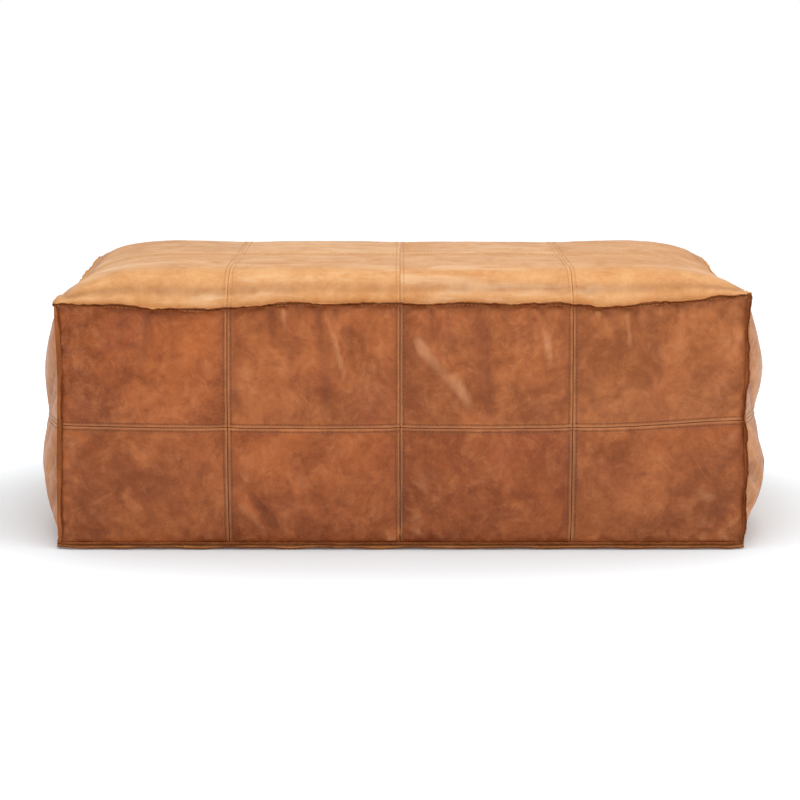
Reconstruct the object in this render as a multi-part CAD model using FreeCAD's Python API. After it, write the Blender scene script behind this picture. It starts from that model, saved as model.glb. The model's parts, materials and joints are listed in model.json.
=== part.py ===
"""A long rectangular floor pouf, sewn from a patchwork of leather over a foam block.

Millimetres. +X runs along the length, -Y is the front, +Z is up. The origin is on the floor
under the middle. Each cover panel is a formula for a stuffed face: straight at the seams and
full between them. A patch is a piece of that face, given the thickness of the leather.
"""

import FreeCAD, Part
import math
import os

# Driving dimensions
patch = 280.0  # a square patch, seam to seam
columns = 4
rows = 2
length = columns * patch
depth = rows * patch
base_seam_z = 9.0
middle_seam_z = 206.0
top_seam_z = 406.0
crown = 56.0  # how far the top stands above its seam
top_shoulder = 56.0  # how far in from the long seams the top has risen to its full height
end_shoulder = 180.0  # the same from the short seams
front_bulge = 22.0
end_bulge = 50.0
base_shoulder = 45.0

leather = 1.6
stitch_gap = 0.6  # between two patches, where the seam dips between them
floor_press = 0.4  # how much of the base is pressed flat against the floor

# The doubled raw edge that stands out of every corner seam
welt_thick = 3.2
welt_out = 9.0
welt_root = 2.1
welt_clear = 0.2
mitre_gap = 0.2

# Stitching that runs along both sides of every flat seam
thread_wide = 0.8
thread_proud = 0.6
thread_lift = 0.25
thread_from_seam = 6.0
thread_from_end = 9.0

# The zip along the middle of the base, raised off the floor in a fold of the leather
zip_half = 500.0  # its ends are this far from the middle
zip_slot = 8.0  # half the width of the opening in the leather
zip_fold_flat = 18.0
zip_fold_wide = 64.0
zip_fold_edge = 72.0  # the base is flat again from here outwards
zip_fold_z = 11.0
inside_fold_z = 15.0  # what is inside is folded higher, clear of the slider
tape_thick = 0.6
tape_wide = 13.0
tape_over = 12.0  # how far the tapes run past the last tooth, above the end tabs
tape_clear = 0.3
teeth_thick = 2.6
teeth_wide = 2.4
teeth_apart = 1.2
tooth_long = 1.4
tooth_pitch = 2.5
stop_long = 3.0
tab_gap = 0.3

slider_long = 13.0
slider_wide = 9.6
slider_plate = 1.2
slider_clear = 0.3
slider_round = 3.0
lip_wide = 1.0
slider_x = 480.0  # where the slider stops when the zip is closed
post_wide = 0.6
post_long = 2.0
bridge_long = 6.4
bridge_wide = 2.0
bridge_high = 2.4
bridge_thick = 0.8
pull_long = 26.0
pull_wide = 7.0
pull_thick = 1.2
pull_bar = 1.4
pull_window = 6.5
pull_rail = 1.4
pull_round = 3.0

# What is inside
liner_inset = 3.2
liner_thick = 0.8
wadding_gap = 0.8
foam_from_long_seam = 36.0
foam_from_short_seam = 36.0
foam_low = 30.0
foam_high = 436.0
foam_round = 30.0

# How finely the faces are made: knots along a face, and the angles of the knots round a shoulder
patch_steps = 8
fold_steps = 12
wall_steps = 12
long_steps = 16
flat_steps = 8
shoulder_angles = range(15, 91, 15)
knot_gap = 4.0

# Worked out from those
half_length = length / 2
half_depth = depth / 2
column_seams = [patch * column - half_length for column in range(columns + 1)]
row_seams = [patch * row - half_depth for row in range(rows + 1)]
height_seams = [base_seam_z, middle_seam_z, top_seam_z]
seam_middle = (top_seam_z + base_seam_z) / 2
seam_half = (top_seam_z - base_seam_z) / 2
welt_slot = welt_thick / 2 + welt_clear
corner_gap = welt_slot * math.sqrt(2)
tape_z = zip_fold_z + leather + tape_clear + tape_thick / 2
plate_top = tape_z - teeth_thick / 2 - slider_clear
plate_low = plate_top - slider_plate
pull_axis_z = plate_low - bridge_high / 2


def shoulder(distance, width):
    """A quarter of an ellipse: 0 at the seam, and 1 from width inwards."""
    left = max(0.0, 1.0 - distance / width)
    return math.sqrt(1.0 - min(1.0, left) ** 2)


def fullness(share):
    """How full a stuffed face is at a share of its half width: 1 in the middle, 0 at the seam."""
    return 1.0 - min(1.0, abs(share)) ** 4


def shrink(value, half, inset):
    """Moves a place on a face inwards, so that the faces of an inset body still meet."""
    return value * (half - inset) / half


def rise(z, inset):
    return seam_middle + shrink(z - seam_middle, seam_half, inset)


def top_face(x, y, inset, edge_z):
    """Steep up from edge_z at the long seams, gentler at the ends, and flat in the middle."""
    full = shoulder(half_length - abs(x), end_shoulder) * shoulder(half_depth - abs(y), top_shoulder)
    z = edge_z + (top_seam_z + crown - inset - edge_z) * full
    return FreeCAD.Vector(shrink(x, half_length, inset), shrink(y, half_depth, inset), z)


def base_face(x, y, inset, edge_z, fold_z):
    """Flat on the floor, up to edge_z all round, and up into a fold along the zip."""
    full = shoulder(half_length - abs(x), base_shoulder) * shoulder(half_depth - abs(y), base_shoulder)
    across = min(1.0, max(0.0, (abs(y) - zip_fold_flat) / (zip_fold_wide - zip_fold_flat)))
    fold = fold_z * (1.0 + math.cos(math.pi * across)) / 2
    z = edge_z + (inset + fold - edge_z) * full
    return FreeCAD.Vector(shrink(x, half_length, inset), shrink(y, half_depth, inset), z)


def long_face(side):
    """The front when side is -1, and the back when it is 1."""

    def face(x, z, inset):
        full = fullness(x / half_length) * fullness((z - seam_middle) / seam_half)
        y = side * (half_depth - inset + front_bulge * full)
        return FreeCAD.Vector(shrink(x, half_length, inset), y, rise(z, inset))

    return face


def short_face(side):
    """The left end when side is -1, and the right end when it is 1."""

    def face(y, z, inset):
        full = fullness(y / half_depth) * fullness((z - seam_middle) / seam_half)
        x = side * (half_length - inset + end_bulge * full)
        return FreeCAD.Vector(x, shrink(y, half_depth, inset), rise(z, inset))

    return face


def stations(low, high, half, width):
    """Places from low to high, closer together where the shoulder turns."""
    turn = [half - width * (1.0 - math.cos(math.radians(angle))) for angle in shoulder_angles]
    flat = even(width - half, half - width, 2 * flat_steps)[1:-1]
    marks = sorted([-place for place in turn] + flat + turn)
    gap = min(knot_gap, (high - low) / 4)
    return [low] + [place for place in marks if low + gap < place < high - gap] + [high]


def even(low, high, steps=patch_steps):
    return [low + (high - low) * step / steps for step in range(steps + 1)]


def repeats_for(knots):
    return [4] + [1] * (len(knots) - 2) + [4]


def pole_places(knots):
    """Where the poles of a cubic go, so that a place on it is its own parameter."""
    full = [knots[0]] * 3 + knots + [knots[-1]] * 3
    return [sum(full[first : first + 3]) / 3 for first in range(1, len(full) - 3)]


def sheet(face, across, up, inset):
    """A smooth cubic surface with its knots at the given places and its poles on the face."""
    poles = [[face(a, b, inset) for b in pole_places(up)] for a in pole_places(across)]
    surface = Part.BSplineSurface()
    surface.buildFromPolesMultsKnots(
        poles, repeats_for(across), repeats_for(up), across, up, False, False, 3, 3
    )
    return surface


def ends_of(surface):
    """The four boundary curves of a surface, as edges."""
    u_low, u_high, v_low, v_high = surface.bounds()
    curves = [surface.uIso(u_low), surface.uIso(u_high), surface.vIso(v_low), surface.vIso(v_high)]
    return [curve.toShape() for curve in curves]


def closed(faces):
    shell = Part.makeShell(faces)
    shell.sewShape()
    solid = Part.Solid(shell)
    if solid.Volume < 0:
        solid.reverse()
    return solid


def skin(face, across, up, outer=0.0, inner=leather):
    """A thin solid between two insets of one face."""
    outside = sheet(face, across, up, outer)
    inside = sheet(face, across, up, inner)
    sides = [Part.makeRuledSurface(a, b) for a, b in zip(ends_of(outside), ends_of(inside))]
    return closed([outside.toShape(), inside.toShape()] + sides)


def box(low, high):
    size = [top - bottom for bottom, top in zip(low, high)]
    return Part.makeBox(*size, FreeCAD.Vector(*low))


def spans(edges, gap_at_ends):
    """Pairs of limits between neighbouring seams, with the seam's gap taken off."""
    pairs = []
    for low, high in zip(edges, edges[1:]):
        low_gap = gap_at_ends if low == edges[0] else stitch_gap / 2
        high_gap = gap_at_ends if high == edges[-1] else stitch_gap / 2
        pairs.append((low + low_gap, high - high_gap))
    return pairs


def top_cover(x, y, inset):
    """The top as leather: it starts above the welt that lies in its seam."""
    return top_face(x, y, inset, top_seam_z + welt_slot)


def base_cover(x, y, inset):
    return base_face(x, y, inset, base_seam_z - welt_slot, zip_fold_z)


def top_inside(x, y, inset):
    """The top of what is inside, which meets the walls of what is inside at its edges."""
    return top_face(x, y, inset, top_seam_z - inset)


def base_inside(x, y, inset):
    return base_face(x, y, inset, base_seam_z + inset, inside_fold_z)


def top_patches():
    parts = {}
    for row, (y_low, y_high) in zip(("front", "back"), spans(row_seams, stitch_gap)):
        for column, (x_low, x_high) in enumerate(spans(column_seams, stitch_gap)):
            across = stations(x_low, x_high, half_length, end_shoulder)
            up = stations(y_low, y_high, half_depth, top_shoulder)
            parts[f"top_{row}_patch_{column + 1}"] = skin(top_cover, across, up)
    return parts


def wall_patches():
    parts = {}
    levels = list(zip(("lower", "upper"), spans(height_seams, welt_slot)))
    for name, side in (("front", -1), ("back", 1)):
        for level, limits in levels:
            for column, span in enumerate(spans(column_seams, corner_gap)):
                node = f"{name}_{level}_patch_{column + 1}"
                parts[node] = skin(long_face(side), even(*span), even(*limits))
    for name, side in (("left", -1), ("right", 1)):
        for level, limits in levels:
            for row, span in zip(("front", "back"), spans(row_seams, corner_gap)):
                node = f"{name}_{level}_{row}_patch"
                parts[node] = skin(short_face(side), even(*span), even(*limits))
    return parts


def below_floor():
    return box((-half_length, -half_depth, -leather), (half_length, half_depth, 0.0))


def base_parts():
    """Two long panels, with the zip between them, and a tab over each end of the zip."""
    parts = {}
    far = half_depth - stitch_gap
    reach = half_length - stitch_gap
    along = stations(-reach, reach, half_length, base_shoulder)
    fold = even(zip_slot + knot_gap, zip_fold_edge, fold_steps)
    outer = stations(zip_fold_edge, far, half_depth, base_shoulder)[1:]
    across = [zip_slot] + fold + outer
    for name, places in (("back", across), ("front", [-y for y in reversed(across)])):
        panel = skin(base_cover, along, places, -floor_press)
        parts[f"base_{name}_panel"] = panel.cut(below_floor())
    inner = zip_half + stop_long + leather + tab_gap
    tab_half = zip_slot - tab_gap
    for name, side in (("left", -1), ("right", 1)):
        run = stations(inner, reach, half_length, base_shoulder)
        run = sorted(side * x for x in run)
        parts[f"base_zip_tab_{name}"] = skin(base_cover, run, even(-tab_half, tab_half, 4))
    return parts


def flat_welt(z, side_x, side_y):
    """One side of the ring of doubled edge round the top or the base, mitred at its ends."""
    low = -welt_root
    high = welt_out
    corners = []
    for out in (low, high):
        for end in (-1, 1) if out == low else (1, -1):
            if side_y:
                x = end * (half_length + out - mitre_gap)
                y = side_y * (half_depth + out)
            else:
                x = side_x * (half_length + out)
                y = end * (half_depth + out - mitre_gap)
            corners.append(FreeCAD.Vector(x, y, z - welt_thick / 2))
    outline = Part.makePolygon(corners + corners[:1])
    return Part.Face(outline).extrude(FreeCAD.Vector(0, 0, welt_thick))


def corner_welt(side_x, side_y):
    """The doubled edge up one corner, standing out on the diagonal."""
    low = base_seam_z + welt_slot
    high = top_seam_z - welt_slot
    strip = box((-welt_root, -welt_thick / 2, low), (welt_out, welt_thick / 2, high))
    angle = math.degrees(math.atan2(side_y, side_x))
    strip.rotate(FreeCAD.Vector(), FreeCAD.Vector(0, 0, 1), angle)
    strip.translate(FreeCAD.Vector(side_x * half_length, side_y * half_depth, 0))
    return strip


def welts():
    parts = {}
    sides = {"front": (0, -1), "back": (0, 1), "left": (-1, 0), "right": (1, 0)}
    for name, (side_x, side_y) in sides.items():
        parts[f"top_{name}_welt"] = flat_welt(top_seam_z, side_x, side_y)
    ring = [flat_welt(base_seam_z, side_x, side_y) for side_x, side_y in sides.values()]
    parts["base_welt"] = Part.makeCompound(ring)
    for y_name, side_y in (("front", -1), ("back", 1)):
        for x_name, side_x in (("left", -1), ("right", 1)):
            parts[f"{y_name}_{x_name}_corner_welt"] = corner_welt(side_x, side_y)
    return parts


def thread(face, across, up):
    return skin(face, across, up, -thread_lift - thread_proud, -thread_lift)


def stitch_rows(face, a_seams, b_seams, a_stations, b_stations):
    """A row of stitching on each side of each inner seam, broken where the seams cross."""
    found = []
    half = thread_wide / 2
    for seam in a_seams[1:-1]:
        for offset in (-thread_from_seam, thread_from_seam):
            for low, high in zip(b_seams, b_seams[1:]):
                run = b_stations(low + thread_from_end, high - thread_from_end)
                strip = [seam + offset - half, seam + offset + half]
                found.append(thread(face, strip, run))
    for seam in b_seams[1:-1]:
        for offset in (-thread_from_seam, thread_from_seam):
            for low, high in zip(a_seams, a_seams[1:]):
                run = a_stations(low + thread_from_end, high - thread_from_end)
                strip = [seam + offset - half, seam + offset + half]
                found.append(thread(face, run, strip))
    return Part.makeCompound(found)


def stitching():
    parts = {}

    def along_top(low, high):
        return stations(low, high, half_length, end_shoulder)

    def across_top(low, high):
        return stations(low, high, half_depth, top_shoulder)

    parts["top_stitching"] = stitch_rows(top_cover, column_seams, row_seams, along_top, across_top)
    for name, side in (("front", -1), ("back", 1)):
        parts[f"{name}_stitching"] = stitch_rows(long_face(side), column_seams, height_seams, even, even)
    for name, side in (("left", -1), ("right", 1)):
        parts[f"{name}_stitching"] = stitch_rows(short_face(side), row_seams, height_seams, even, even)
    return parts


def zip_rows():
    """The tapes, teeth and end stops. The rows lie side by side, a little apart."""
    parts = {}
    inner = teeth_apart / 2
    reach = zip_half + tape_over
    for name, side in (("front", -1), ("back", 1)):
        near = inner + teeth_wide
        ys = sorted((side * near, side * (near + tape_wide)))
        low = (-reach, ys[0], tape_z - tape_thick / 2)
        high = (reach, ys[1], tape_z + tape_thick / 2)
        parts[f"zip_tape_{name}"] = box(low, high)
        ys = sorted((side * inner, side * near))
        teeth = []
        count = int(2 * zip_half / tooth_pitch)
        for index in range(count):
            x = -zip_half + tooth_pitch * (index + 0.5)
            low = (x - tooth_long / 2, ys[0], tape_z - teeth_thick / 2)
            high = (x + tooth_long / 2, ys[1], tape_z + teeth_thick / 2)
            teeth.append(box(low, high))
        parts[f"zip_teeth_{name}"] = Part.makeCompound(teeth)
    stops = []
    for side in (-1, 1):
        xs = sorted((side * zip_half, side * (zip_half + stop_long)))
        low = (xs[0], -inner - teeth_wide, tape_z - teeth_thick / 2)
        high = (xs[1], inner + teeth_wide, tape_z + teeth_thick / 2)
        stops.append(box(low, high))
    parts["zip_end_stops"] = Part.makeCompound(stops)
    return parts


def zip_slider():
    """Two plates joined by a post between the rows of teeth, and a bridge for the pull."""
    half_x = slider_long / 2
    half_y = slider_wide / 2
    upper = tape_z + teeth_thick / 2 + slider_clear
    lower_plate = box((-half_x, -half_y, plate_low), (half_x, half_y, plate_top))
    upper_plate = box((-half_x, -half_y, upper), (half_x, half_y, upper + slider_plate))
    plates = []
    for plate in (lower_plate, upper_plate):
        upright = [e for e in plate.Edges if abs(e.tangentAt(e.FirstParameter).z) > 0.9]
        plates.append(plate.makeFillet(slider_round, upright))
    post = box((-post_long / 2, -post_wide / 2, plate_top), (post_long / 2, post_wide / 2, upper))
    lips = []
    lip_low = tape_z - tape_thick / 2 - slider_clear
    lip_high = tape_z + tape_thick / 2 + slider_clear
    for side in (-1, 1):
        ys = sorted((side * (half_y - lip_wide), side * half_y))
        lips.append(box((-half_x + slider_round, ys[0], plate_top), (half_x - slider_round, ys[1], lip_low)))
        lips.append(box((-half_x + slider_round, ys[0], lip_high), (half_x - slider_round, ys[1], upper)))
    low = plate_low - bridge_high - bridge_thick
    half_bridge = bridge_long / 2
    bridge = box((-half_bridge, -bridge_wide / 2, low), (half_bridge, bridge_wide / 2, plate_low))
    window = half_bridge - bridge_thick
    bridge = bridge.cut(
        box((-window, -bridge_wide, plate_low - bridge_high), (window, bridge_wide, plate_low))
    )
    body = plates[0].fuse([plates[1], post, bridge] + lips).removeSplitter()
    body.translate(FreeCAD.Vector(slider_x, 0, 0))
    return body


def zip_pull():
    """A flat tab with a window round the slider's bridge, and a round bar through the bridge."""
    half_y = pull_wide / 2
    low = pull_axis_z - pull_thick / 2
    tab = box((-pull_long, -half_y, low), (0, half_y, low + pull_thick))
    upright = [e for e in tab.Edges if abs(e.tangentAt(e.FirstParameter).z) > 0.9]
    far = [e for e in upright if e.CenterOfMass.x < -pull_long / 2]
    tab = tab.makeFillet(pull_round, far)
    window_half = half_y - pull_rail
    window = box((-pull_window, -window_half, low), (0, window_half, low + pull_thick))
    tab = tab.cut(window)
    bar = Part.makeCylinder(
        pull_bar / 2, pull_wide, FreeCAD.Vector(0, -half_y, pull_axis_z), FreeCAD.Vector(0, 1, 0)
    )
    pull = tab.fuse(bar).removeSplitter()
    pull.translate(FreeCAD.Vector(slider_x, 0, 0))
    return pull


def stuffed_body(inset):
    """The whole stuffed form as one solid, with every face moved in by inset."""
    xs = stations(-half_length, half_length, half_length, end_shoulder)
    ys = stations(-half_depth, half_depth, half_depth, top_shoulder)
    zs = even(base_seam_z, top_seam_z, wall_steps)
    base_xs = stations(-half_length, half_length, half_length, base_shoulder)
    base_ys = stations(-half_depth, half_depth, half_depth, base_shoulder)
    fold = even(-zip_fold_wide, zip_fold_wide, fold_steps)
    base_ys = sorted([y for y in base_ys if abs(y) > zip_fold_edge] + fold)
    long_xs = even(-half_length, half_length, long_steps)
    short_ys = even(-half_depth, half_depth, wall_steps)
    sheets = [
        sheet(top_inside, xs, ys, inset),
        sheet(base_inside, base_xs, base_ys, inset),
        sheet(long_face(-1), long_xs, zs, inset),
        sheet(long_face(1), long_xs, zs, inset),
        sheet(short_face(-1), short_ys, zs, inset),
        sheet(short_face(1), short_ys, zs, inset),
    ]
    return closed([surface.toShape() for surface in sheets])


def foam_block(grow):
    half_x = half_length - foam_from_short_seam + grow
    half_y = half_depth - foam_from_long_seam + grow
    block = box((-half_x, -half_y, foam_low - grow), (half_x, half_y, foam_high + grow))
    return block.makeFillet(foam_round + grow, block.Edges)


def filling():
    """The liner bag, the wadding that fills it out, and the foam block in the middle."""
    bag_inside = stuffed_body(liner_inset + liner_thick)
    wadding = stuffed_body(liner_inset + liner_thick + wadding_gap).cut(foam_block(wadding_gap))
    return {
        "liner_bag": stuffed_body(liner_inset).cut(bag_inside),
        "wadding": wadding,
        "foam_block": foam_block(0.0),
    }


def main():
    parts = {}
    for group in (top_patches, wall_patches, base_parts, welts, stitching, zip_rows, filling):
        parts.update(group())
    parts["zip_slider"] = zip_slider()
    parts["zip_pull"] = zip_pull()
    os.makedirs("parts", exist_ok=True)
    for name, shape in parts.items():
        shape.exportStep(f"parts/{name}.step")
        state = "" if shape.isValid() else "NOT VALID"
        print(f"{name:28} {shape.Volume / 1000:10.2f} cm3 {len(shape.Solids):4} solids {state}")
    print(len(parts), "nodes")


main()
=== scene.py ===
"""The looks of the patchwork leather pouf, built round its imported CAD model. Metres.

The cover is five stuffed panels and a base. Each panel is a formula for the stuffed face plus what a cloth
simulation adds to it. Patches, stitches and raw edges are all read off those panels, so they meet exactly.
"""

import itertools
import json
import math

import bpy
import numpy as np
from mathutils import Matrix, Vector

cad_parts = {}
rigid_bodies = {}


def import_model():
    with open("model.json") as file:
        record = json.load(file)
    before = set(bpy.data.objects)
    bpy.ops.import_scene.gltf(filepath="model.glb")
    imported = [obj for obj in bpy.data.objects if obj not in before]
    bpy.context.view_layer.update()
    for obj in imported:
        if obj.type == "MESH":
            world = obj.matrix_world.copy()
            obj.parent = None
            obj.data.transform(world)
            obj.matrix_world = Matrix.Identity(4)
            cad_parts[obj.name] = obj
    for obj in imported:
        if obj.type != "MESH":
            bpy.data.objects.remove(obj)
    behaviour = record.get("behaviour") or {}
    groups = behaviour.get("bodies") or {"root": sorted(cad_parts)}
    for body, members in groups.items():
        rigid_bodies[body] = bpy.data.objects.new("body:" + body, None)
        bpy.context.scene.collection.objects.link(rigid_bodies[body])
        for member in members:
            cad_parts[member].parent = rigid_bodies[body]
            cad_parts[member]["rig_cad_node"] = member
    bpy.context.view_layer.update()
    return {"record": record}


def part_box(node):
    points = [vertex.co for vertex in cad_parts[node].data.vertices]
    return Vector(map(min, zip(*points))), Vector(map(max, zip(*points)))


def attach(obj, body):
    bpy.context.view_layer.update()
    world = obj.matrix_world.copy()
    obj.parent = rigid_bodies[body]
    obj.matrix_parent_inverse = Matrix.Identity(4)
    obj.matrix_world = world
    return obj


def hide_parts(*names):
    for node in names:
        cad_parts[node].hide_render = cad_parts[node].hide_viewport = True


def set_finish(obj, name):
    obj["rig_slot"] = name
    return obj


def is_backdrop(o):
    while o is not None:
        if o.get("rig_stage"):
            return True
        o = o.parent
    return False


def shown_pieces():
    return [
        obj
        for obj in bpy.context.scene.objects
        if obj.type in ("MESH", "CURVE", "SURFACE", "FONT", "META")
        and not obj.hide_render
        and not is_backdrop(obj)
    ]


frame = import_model()
BODY = "pouf"


def seam_between(low_node, high_node, axis):
    """The place of the seam between two neighbouring nodes."""
    return (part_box(low_node)[1][axis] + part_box(high_node)[0][axis]) / 2


def middle_of(node, axis):
    low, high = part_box(node)
    return (low[axis] + high[axis]) / 2


# Sizes that come from the frame
SEAM_X = seam_between("front_upper_patch_3", "front_upper_patch_4", 0)
PATCH = SEAM_X - seam_between("front_upper_patch_2", "front_upper_patch_3", 0)
HALF_X = 2 * PATCH
HALF_Y = PATCH
BASE_Z = middle_of("base_welt", 2)
MID_Z = seam_between("front_lower_patch_1", "front_upper_patch_1", 2)
TOP_Z = middle_of("top_front_welt", 2)
APEX_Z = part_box("top_front_patch_2")[1][2]
FRONT_BULGE = -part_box("front_upper_patch_2")[0][1] - HALF_Y
END_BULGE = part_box("right_upper_front_patch")[1][0] - HALF_X
WELT_OUT = -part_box("top_front_welt")[0][1] - HALF_Y
ZIP_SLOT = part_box("base_back_panel")[0][1]

# How the leather is worked
LEATHER = 0.0016
FOLD_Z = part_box("base_zip_tab_left")[1][2] - LEATHER
STITCH = 0.0068
STITCH_IN = 0.006
STITCH_LONG = 0.0046
THREAD = 0.00042
TOP_SHOULDER = 0.085
END_SHOULDER = 0.18
BASE_SHOULDER = 0.045
WAIST = {"left": 0.002, "right": 0.010}
WAIST_TALL = 0.05
# The base rises to its zip: how far from the middle that starts, and how wide the slope is
ZIP_FLAT = 0.016
ZIP_SLOPE = 0.048
WALLS = ("front", "back", "left", "right")

# How each face is worked: how dark the painted shade in its seams is, how deep its grooves, how far it curls
# out into the corner seams, how high the puckers beside them are, and how strong the painted highlight and
# shade of those puckers are
WALL_LOOK = {"dark": 0.75, "groove": 1.0, "curl": 1.0, "pucker": 0.0013, "shown": 0.35}
END_LOOK = {**WALL_LOOK, "dark": 0.5, "groove": 0.7}
TOP_LOOK = {"dark": 0.10, "groove": 0.35, "curl": 0.2, "pucker": 0.0013, "shown": 0.10}
BASE_LOOK = {**WALL_LOOK, "dark": 1.0, "pucker": 0.0}
LOOKS = {
    "front": WALL_LOOK,
    "back": WALL_LOOK,
    "left": END_LOOK,
    "right": END_LOOK,
    "top": TOP_LOOK,
    "base": BASE_LOOK,
}


# ---------------------------------------------------------------- small mathematics


def bell(distance, width):
    return np.exp(-((distance / width) ** 2))


def smooth(share):
    share = np.clip(share, 0.0, 1.0)
    return share * share * (3 - 2 * share)


def unit(vectors):
    return vectors / np.maximum(np.linalg.norm(vectors, axis=-1, keepdims=True), 1e-12)


def shoulder(distance, width):
    """A quarter of an ellipse: 0 at a seam, and 1 from width inwards."""
    left = np.clip(1 - distance / width, 0, 1)
    return np.sqrt(1 - left**2)


def fullness(share):
    return 1 - np.minimum(np.abs(share), 1) ** 4


def wander(along, seed, longest, height, octaves=3):
    """A smooth wavy line with no pattern: a few sines of falling length and height."""
    draws = np.random.default_rng(seed)
    line = np.zeros_like(along)
    for octave in range(octaves):
        wave = longest / (1.9**octave)
        for _ in range(2):
            line = line + height / (1.7**octave) * np.sin(
                2 * math.pi * along / (wave * draws.uniform(0.75, 1.3)) + draws.uniform(0, 6.28)
            )
    return line / 2


def spline_weights(places, start, step, count):
    """Catmull-Rom weights, one row for each place, on an even row of count values."""
    where = np.clip((np.asarray(places) - start) / step, 0, count - 1 - 1e-9)
    cell = np.floor(where).astype(int)
    t = where - cell
    parts = [
        (-t + 2 * t**2 - t**3) / 2,
        (2 - 5 * t**2 + 3 * t**3) / 2,
        (t + 4 * t**2 - 3 * t**3) / 2,
        (-(t**2) + t**3) / 2,
    ]
    weights = np.zeros((len(where), count))
    for offset, part in zip((-1, 0, 1, 2), parts):
        np.add.at(weights, (np.arange(len(where)), np.clip(cell + offset, 0, count - 1)), part)
    return weights


# ---------------------------------------------------------------- the stuffed shape

# Places where the stuffing pushes or lets go: centre, reach along x, y and z, and how far it moves.
PUSHES = [
    ((-0.325, -HALF_Y, TOP_Z), (0.085, 0.07, 0.05), (0, 0, -0.010)),
    ((-0.44, -HALF_Y, TOP_Z), (0.06, 0.06, 0.04), (0, 0, -0.003)),
    ((0.345, -HALF_Y, TOP_Z), (0.06, 0.06, 0.05), (0, 0, -0.005)),
    ((HALF_X, -HALF_Y, TOP_Z), (0.11, 0.10, 0.07), (0.004, 0, 0.013)),
    ((-HALF_X, HALF_Y, TOP_Z), (0.14, 0.20, 0.09), (0, 0, 0.014)),
    ((HALF_X, HALF_Y, TOP_Z), (0.14, 0.20, 0.09), (0, 0, 0.014)),
    ((HALF_X, -HALF_Y, MID_Z), (0.16, 0.12, 0.06), (0, 0, 0.009)),
    ((0.19, HALF_Y, TOP_Z), (0.12, 0.08, 0.05), (0, 0, -0.007)),
    ((-0.15, HALF_Y, TOP_Z), (0.10, 0.08, 0.05), (0, 0, 0.005)),
    ((HALF_X, 0.05, TOP_Z), (0.08, 0.10, 0.05), (0, 0, -0.006)),
    ((-HALF_X, -0.06, TOP_Z), (0.08, 0.09, 0.05), (0, 0, -0.005)),
    ((-HALF_X - END_BULGE, -0.1, 0.29), (0.08, 0.3, 0.12), (0.012, 0, 0)),
    ((HALF_X + END_BULGE, -0.1, 0.10), (0.07, 0.3, 0.085), (0.014, 0, 0)),
    ((HALF_X + END_BULGE, -0.1, 0.30), (0.07, 0.3, 0.085), (0.004, 0, 0)),
]


def pushed(points):
    """Moves the formula's points by every push, so that neighbouring panels still meet."""
    moved = points.copy()
    for centre, reach, shift in PUSHES:
        weight = np.exp(-(((points - centre) / reach) ** 2).sum(axis=-1, keepdims=True))
        moved += weight * np.array(shift)
    return moved


def grid(a, b):
    return np.meshgrid(a, b, indexing="ij")


def top_shape(a, b):
    x, y = grid(a, b)
    full = shoulder(HALF_X - np.abs(x), END_SHOULDER) * shoulder(HALF_Y - np.abs(y), TOP_SHOULDER)
    return np.stack([x, y, TOP_Z + (APEX_Z - TOP_Z) * full], axis=-1)


def base_shape(a, b):
    x, y = grid(a, b)
    full = shoulder(HALF_X - np.abs(x), BASE_SHOULDER) * shoulder(HALF_Y - np.abs(y), BASE_SHOULDER)
    fold = FOLD_Z * (1 - smooth((np.abs(y) - ZIP_FLAT) / ZIP_SLOPE))
    return np.stack([x, y, BASE_Z + (fold - BASE_Z) * full], axis=-1)


def long_shape(side):
    def shape(a, b):
        x, z = grid(a, b)
        t = (2 * z - TOP_Z - BASE_Z) / (TOP_Z - BASE_Z)
        y = side * (HALF_Y + FRONT_BULGE * fullness(x / HALF_X) * fullness(t))
        return np.stack([x, y, z], axis=-1)

    return shape


def end_shape(side, waist):
    def shape(a, b):
        y, z = grid(a, b)
        t = (2 * z - TOP_Z - BASE_Z) / (TOP_Z - BASE_Z)
        full = END_BULGE * fullness(t) - waist * bell(z - MID_Z, WAIST_TALL)
        x = side * (HALF_X + full * fullness(y / HALF_Y))
        return np.stack([x, y, z], axis=-1)

    return shape


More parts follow.
